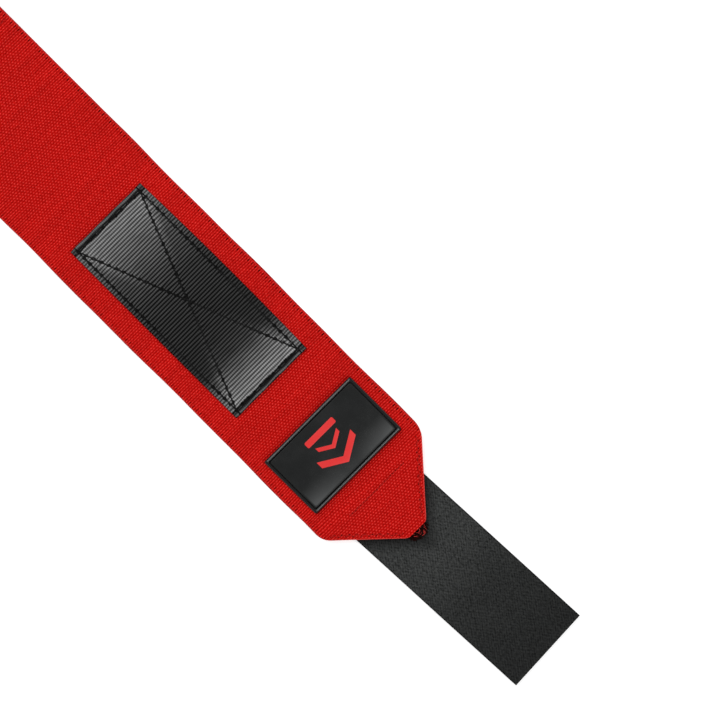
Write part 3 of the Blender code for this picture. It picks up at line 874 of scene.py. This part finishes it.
def rubber_patch(rubber, black_thread):
    """Nested outlines from the foot of the rim, over it, down into the groove and across the field."""
    foot, top = low("rubber_patch").z, high("rubber_patch").z
    shape = (
        (0.0, -1.35), (0.06, -1.05), (0.24, -0.74), (0.55, -0.42), (0.84, -0.18), (0.99, -0.09),
        (1.18, -0.02), (1.35, 0.0), (1.48, -0.01), (1.54, -0.06), (1.57, -0.16), (1.59, -0.4),
        (1.61, -0.8), (1.7, -0.95), (1.86, -1.0), (2.16, -1.0), (2.28, -0.92), (2.33, -0.6),
        (2.37, -0.30), (2.41, -0.16), (2.5, -0.135), (2.8, -0.125), (3.2, -0.12),
    )
    profile = [(0.0, foot - 0.25 * MM)] + [(inset * MM, top + drop * MM) for inset, drop in shape]
    last, crown = profile[-1]
    for t in spaced(0.0, 1.0, 12)[1:]:
        inset = last + (RUBBER_HALF_X - last - 0.4 * MM) * t
        profile.append((inset, crown + 0.22 * MM * math.sin(math.pi / 2 * t)))
    points, flat = [], []
    for inset, height in profile:
        radius = min(RUBBER_CORNER, 0.7 * (RUBBER_HALF_X - inset))
        for x, y in rounded_rectangle(RUBBER_HALF_X - inset, RUBBER_HALF_Y - inset, radius):
            points.append((pinched(x, y), y, height + relief(RUBBER_X + x, y) * 0.5))
            flat.append((x, y))
    faces = ring_faces(len(profile), len(points) // len(profile))
    patch = make_piece("rubber_patch_body", points, faces, flat, rubber, 60)
    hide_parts("rubber_patch")
    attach(patch, "tip")

    def groove(x, y):
        return top - 0.86 * MM + relief(x, y) * 0.5

    seam = 1.96 * MM
    outline = []
    for before, after in round_rows(corners(0.0, RUBBER_HALF_X - seam, RUBBER_HALF_Y - seam)):
        for x, y in list(zip(spaced(before[0], after[0], 4), spaced(before[1], after[1], 4)))[:-1]:
            outline.append((pinched(x, y), y))
    stitching = (black_thread, round_rows(outline), groove, 3.3 * MM, 0.21 * MM, 21)
    sew("rubber_patch_stitches", "rubber_patch_seam", "tip", *stitching)


def rubber_mark(material):
    """The raised mark: each CAD outline again, with rounded edges."""
    for node in ("rubber_mark_outer_peak", "rubber_mark_inner_peak", "rubber_mark_bar"):
        bm = bmesh.new()
        bm.from_mesh(frame["nodes"][node].data)
        bmesh.ops.remove_doubles(bm, verts=bm.verts, dist=1e-6)
        bmesh.ops.dissolve_limit(bm, angle_limit=math.radians(2), verts=bm.verts, edges=bm.edges)
        for vert in bm.verts:
            if vert.co.z < low(node).z + 0.1 * MM:
                vert.co.z -= 0.25 * MM
        face = high(node).z - 0.1 * MM
        edges = [edge for edge in bm.edges if max(vert.co.z for vert in edge.verts) > face]
        upper = [edge for edge in edges if len(edge.link_faces) == 2 and edge.calc_face_angle() > 0.5]
        rounding = {"offset": 0.2 * MM, "segments": 3, "profile": 0.6}
        bmesh.ops.bevel(bm, geom=upper, affect="EDGES", clamp_overlap=True, **rounding)
        bmesh.ops.recalc_face_normals(bm, faces=bm.faces)
        points = [vert.co.copy() for vert in bm.verts]
        faces = [tuple(vert.index for vert in face.verts) for face in bm.faces]
        bm.free()
        flat = [(point.x, point.y) for point in points]
        piece = make_piece(node + "_moulding", points, faces, flat, material, 40)
        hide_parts(node)
        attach(piece, "tip")


# ---- the point and its stitches


def tip_stitches(red_thread):
    """Topstitching beside the slanted edges and the seam that holds the strap's root."""
    far, near = high("tip_topstitch_left").y, low("tip_topstitch_left").y
    for node, side, seed in (("tip_topstitch_left", 1, 31), ("tip_topstitch_right", -1, 32)):
        row = [(askew(TOPSTITCH_LINE - y, side), side * y) for y in (far, near)]
        stitching = (red_thread, [row], band_surface, 2.05 * MM, 0.30 * MM, seed, 0.7 * MM)
        sew(node + "_stitches", node, "tip", *stitching)
    row = [(ROOT_SEAM_X, -ROOT_SEAM_HALF), (ROOT_SEAM_X, ROOT_SEAM_HALF)]
    stitching = (red_thread, [row], band_surface, 2.05 * MM, 0.28 * MM, 33, 0.12 * MM)
    sew("strap_root_stitches", "strap_root_seam", "tip", *stitching)


def tip_tack(thread):
    """A tangle of thread in the corner past the cut-off tip: a dark bed with a few red strokes on it."""
    chance = random.Random(41)
    foot = low("tip_bartack").z
    lines = []
    count = 34
    for number in range(count):
        y = (2 * (number + 0.5) / count - 1) * HALF_TIP * 0.93 + chance.uniform(-0.3, 0.3) * MM
        room = 0.9 * HALF_TIP * math.sqrt(1 - min(1.0, abs(y) / HALF_TIP) ** 2)
        lean = chance.uniform(-1.0, 1.0) * MM
        start = TIP_END - 0.8 * MM
        end = TIP_END + max(room, 1 * MM) * chance.uniform(0.85, 1.0)
        path = []
        for t in spaced(0.0, 1.0, 4):
            sway = lean * t + chance.uniform(-0.25, 0.25) * MM
            height = foot + (0.1 + 0.3 * math.sin(math.pi * t)) * MM
            path.append((start + (end - start) * t, y + sway, height))
        lines.append((path, 1.0, 0.25 * MM))
    for number in range(16):
        away = math.sqrt(chance.uniform(0.02, 0.85))
        angle = chance.uniform(-0.5, 0.5) * math.pi
        x = TIP_END + HALF_TIP * 0.82 * away * math.cos(angle)
        y = HALF_TIP * 0.82 * away * math.sin(angle)
        reach = chance.uniform(0.6, 1.3) * MM
        bow = chance.uniform(-0.5, 0.5) * MM
        turn = angle + math.pi / 2 + chance.uniform(-0.7, 0.7)
        path = []
        for t in spaced(-1.0, 1.0, 4):
            rise = 1 - t * t
            spot_x = x + reach * t * math.cos(turn) - bow * rise * math.sin(turn)
            spot_y = y + reach * t * math.sin(turn) + bow * rise * math.cos(turn)
            path.append((spot_x, spot_y, foot + (0.3 + 0.4 * rise) * MM))
        lines.append((path, 0.0, chance.uniform(0.13, 0.2) * MM))
    threads = []
    for path, dark, radius in lines:
        path = smooth_path(path, 3)
        fade = chance.uniform(0.1, 0.9)
        waves = [fade * (0.4 + 0.6 * abs(math.sin(place * 0.7))) for place in range(len(path))]
        threads.append((path, [radius] * len(path), [max(dark, wave) for wave in waves]))
    piece = tubes("tip_tack_threads", threads, 6, thread, "thread_red")
    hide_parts("tip_bartack")
    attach(piece, "tip")


def smooth_path(points, steps):
    """A Catmull-Rom curve through points."""
    points = [np.asarray(point, float) for point in points]
    padded = [2 * points[0] - points[1], *points, 2 * points[-1] - points[-2]]
    path = []
    for before, start, end, after in zip(padded, padded[1:], padded[2:], padded[3:]):
        for step in range(steps):
            t = step / steps
            path.append(
                0.5 * (2 * start + (end - before) * t + (2 * before - 5 * start + 4 * end - after) * t**2
                       + (3 * start - before - 3 * end + after) * t**3)
            )
    path.append(points[-1])
    return path


def tip_folds(material):
    """The corners turned under: a thin wedge of cloth whose slanted side rolls up to the band's edge."""
    for node, side in (("tip_fold_left", 1), ("tip_fold_right", -1)):
        near, far = sorted((abs(low(node).y), abs(high(node).y)))
        start = low(node).x
        slant = high(node).x + near
        thickness = high(node).z - low(node).z
        rows, columns = 18, 14
        points, flat, faces = [], [], []
        for level in (0, 1):
            for y in spaced(near, far, rows):
                for x in spaced(start, start + max(slant - y - start, 0.25 * MM), columns):
                    roll = smoothstep(1 - (slant - y - x) / (3.5 * MM))
                    pinch = 0.35 * MM * smoothstep(1 - (slant - y - x) / (0.8 * MM))
                    sewn_x = askew(x, side)
                    z = low(node).z + 0.62 * MM * roll + relief(sewn_x, side * y) * roll
                    z += thickness - pinch if level else pinch
                    points.append((sewn_x, side * y, z))
                    flat.append((sewn_x, side * y))
        size = (rows + 1) * (columns + 1)
        for row in range(rows):
            for column in range(columns):
                here = row * (columns + 1) + column
                quad = (here, here + 1, here + columns + 2, here + columns + 1)
                upper = tuple(size + place for place in quad)
                faces += [tuple(reversed(quad)), upper] if side > 0 else [quad, tuple(reversed(upper))]
        rim = list(range(columns))
        rim += [row * (columns + 1) + columns for row in range(rows)]
        rim += [rows * (columns + 1) + column for column in range(columns, 0, -1)]
        rim += [row * (columns + 1) for row in range(rows, 0, -1)]
        for here, after in round_rows(rim):
            quad = (here, after, size + after, size + here)
            faces.append(quad if side > 0 else tuple(reversed(quad)))
        piece = make_piece(node + "_cloth", points, faces, flat, material, 40)
        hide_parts(node)
        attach(piece, "tip")


# ---- the strap


def strap_turn():
    """From the strap's own line, along +X from its hinge, to the frame."""
    place = hinge("strap_fold")
    axis = Vector(joints["strap_fold"]["axis"])
    run = Vector((-axis.y, axis.x, 0.0))
    side = Vector((-run.y, run.x, 0.0))
    turn = Matrix((run, side, Vector((0, 0, 1)))).transposed().to_4x4()
    return Matrix.Translation((place.x, place.y, 0.0)) @ turn, run


def strap_relief(x, y, side=0):
    """The strap's gentle waves, which start beyond its hinge."""
    fade = smoothstep((x - 8 * MM) / (20 * MM))
    return fade * 0.3 * MM * (1 + math.sin(x * 74 + y * 9) * math.cos(y * 22 + 0.5))


def hook_lines(root, end, half):
    """Hooks in rows under the strap, turned forward and back in turn."""
    chance = random.Random(51)
    pitch_x, pitch_y = 1.55 * MM, 1.45 * MM
    # How far forward and up each point of a hook is, in millimetres.
    shape = ((0, 0.98), (0, 0.55), (0.10, 0.22), (0.34, 0.10), (0.52, 0.30))
    radii = [radius * MM for radius in (0.17, 0.13, 0.12, 0.11, 0.07)]
    lines = []
    for row in range(int((end - root - 2 * MM) / pitch_x)):
        for column in range(int((2 * half - 2.4 * MM) / pitch_y)):
            x = root + 1.2 * MM + row * pitch_x + chance.uniform(-0.1, 0.1) * MM
            y = -half + 1.4 * MM + (column + 0.5 * (row % 2)) * pitch_y
            way = 1 if column % 2 else -1
            foot = strap_relief(x, y) + 0.05 * MM
            path = [(x + way * forward * MM, y, foot + up * MM) for forward, up in shape]
            lines.append((path, radii, [0.0] * len(shape)))
    return lines


def strap(tape, hooks):
    turn, run = strap_turn()
    half = STRAP_HALF
    fold = hinge("strap_fold").x
    root = (low("strap_root_tape").x - fold + half * abs(run.y)) / run.x
    end = (high("strap_tape").x - fold - half * abs(run.y)) / run.x
    bottom, top = low("strap_tape").z - 0.25 * MM, high("strap_tape").z
    thickness = top - bottom
    before, after = BEND_REACH["strap_fold"]
    places = [x for x in spaced(root, end, 90) if not -before - 0.3 * MM < x < after + 0.3 * MM]
    places = sorted(places + spaced(-before, after, 30))
    line = [(x, bottom + thickness / 2, x) for x in places]
    shape = (26, lambda place: (-half, half), strap_relief, 5, 0.35 * MM)
    cloth = ribbon("strap_cloth", line, thickness, tape, *shape)
    cloth.matrix_world = turn
    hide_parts("strap_tape", "strap_root_tape")

    field = tubes("strap_hook_field", hook_lines(root, end, half), 4, hooks)
    field.matrix_world = turn
    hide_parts("strap_hooks", "strap_root_hooks")
    for piece in (cloth, field):
        bend(piece)


# ---- the hem and the thumb loop


def thumb_loop(tape, black_thread):
    """One length of tape: along the hem, round the open loop, and back on top of its own start."""
    thickness = 1.0 * MM
    ply = low("thumb_loop_ends").z + thickness / 2, high("thumb_loop_ends").z - thickness / 2
    sewn_end = high("thumb_loop_ends").x
    root = high("thumb_loop").x - 0.5 * MM
    far = low("thumb_loop").x + thickness / 2
    centre = (ply[0] + ply[1]) / 2
    swell = 10.5 * MM
    rise = 7.5 * MM
    half_gap = (ply[1] - ply[0]) / 2

    def loop_point(angle):
        share = (1 - math.cos(angle)) / 2
        side = 1 if angle < math.pi else -1
        height = centre + rise * smoothstep(share) + swell * math.sin(angle) * math.sin(angle / 2)
        return root + (far - root) * share, height + side * half_gap * abs(math.cos(angle / 2))

    points = [(x, ply[1]) for x in spaced(sewn_end, root, 24)[:-1]]
    points += [loop_point(2 * math.pi * (number + 0.35) / 96.7) for number in range(96)]
    points += [(x, ply[0]) for x in spaced(root, sewn_end, 24)[1:]]
    line = measured(points)
    half = high("thumb_loop").y
    shape = (12, lambda place: (-half, half), still, 5, 0.3 * MM)
    loop = ribbon("thumb_loop_tape", line, thickness, tape, *shape)
    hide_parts("thumb_loop", "thumb_loop_ends")
    bend(loop)

    seam = "thumb_loop_seam"
    half_x = high(seam).x - middle(seam).x - THREAD_INSET
    box = corners(middle(seam).x, half_x, high(seam).y - THREAD_INSET)
    rows = round_rows(box) + [box[::2], box[1::2]]
    top = high("thumb_loop_ends").z
    sew("thumb_loop_stitches", seam, "hem", black_thread, rows, lambda x, y: top, 2.2 * MM, 0.3 * MM, 61)


def hem_stitches(red_thread):
    for node, seed in (("hem_seam", 71), ("hem_edge_seam_left", 72), ("hem_edge_seam_right", 73)):
        x = middle(node).x
        rows = [((x, low(node).y), (x, high(node).y))]
        stitching = (red_thread, rows, lambda x, y: HEM_TOP, 2.4 * MM, 0.3 * MM, seed)
        sew(node + "_stitches", node, "hem", *stitching)


# ---- stage, light and camera


def floor():
    """A pale sheet of paper under the wrap, which shines a little so that the camera sees it white."""
    look = Look("floor_paper", 0.9, specular=0.1)
    look.feed(look.surface["Emission Color"], (1.0, 1.0, 1.0))
    look.feed(look.surface["Emission Strength"], 0.45)
    material = look.finish(look.ramp(look.noise(9, 9), ((0.2, 0.64), (0.8, 0.67))))
    places = corners(0.0, FLOOR_HALF, FLOOR_HALF)
    mesh = bpy.data.meshes.new("floor")
    mesh.from_pydata([(x, y, 0.0) for x, y in places], [], [(0, 1, 2, 3)])
    layer = mesh.uv_layers.new(name="cloth")
    for loop, place in zip(layer.data, places):
        loop.uv = place
    mesh.materials.append(material)
    ground = add_object("floor", mesh)


def lights():
    """An even white surround, and a square softbox past each end of the wrap."""
    world = bpy.data.worlds.new("studio")
    world.use_nodes = True
    surround = world.node_tree.nodes["Background"].inputs
    surround["Color"].default_value = (1.0, 1.0, 1.0, 1.0)
    surround["Strength"].default_value = 0.26
    bpy.context.scene.world = world
    for name, side in (("softbox_tip_side", 1), ("softbox_hem_side", -1)):
        light = bpy.data.lights.new(name, "AREA")
        light.shape = "RECTANGLE"
        light.size = 1.4
        light.size_y = 1.4
        light.energy = 27
        lamp = add_object(name, light)
        lamp.location = LIGHT_AIM + Vector((side * 1.30, 0.15, 1.25))
        lamp.rotation_euler = (LIGHT_AIM - lamp.location).to_track_quat("-Z", "Y").to_euler()


def camera():
    """Straight above, turned so that the wrap lies from the upper left to the lower right."""
    view = bpy.data.cameras.new("camera")
    view.lens = 100
    view.sensor_width = 36
    eye = add_object("camera", view)
    eye.location = (TIP_END - 84.4 * MM, 41.9 * MM, CAMERA_HEIGHT)
    eye.rotation_euler = (0.0, 0.0, math.radians(45))
    bpy.context.scene.camera = eye
    bpy.context.scene.view_settings.view_transform = "Standard"


def build():
    elastic = elastic_material()
    blacks = (0.0012, 0.0012, 0.0012), (0.008, 0.008, 0.008)
    black_thread = thread_material("thread_black", *blacks, 0.55, 0.12)
    gloss = (0.6, 0.2, (1.0, 0.2, 0.16))
    red_thread = thread_material("thread_red", (0.30, 0.003, 0.0024), (0.68, 0.022, 0.018), *gloss)
    tack_thread = thread_material("tack_thread_red", (0.30, 0.008, 0.007), (0.70, 0.075, 0.065), *gloss)

    camera()
    lights()
    floor()
    band_pieces(elastic)
    landing_patch(ribbed_material(), black_thread)
    rubber_patch(patch_material(), black_thread)
    rubber_mark(mark_material())
    tip_folds(elastic)
    tip_stitches(red_thread)
    tip_tack(tack_thread)
    strap(strap_material(), hook_material())
    thumb_loop(tape_material(), black_thread)
    hem_stitches(red_thread)


build()
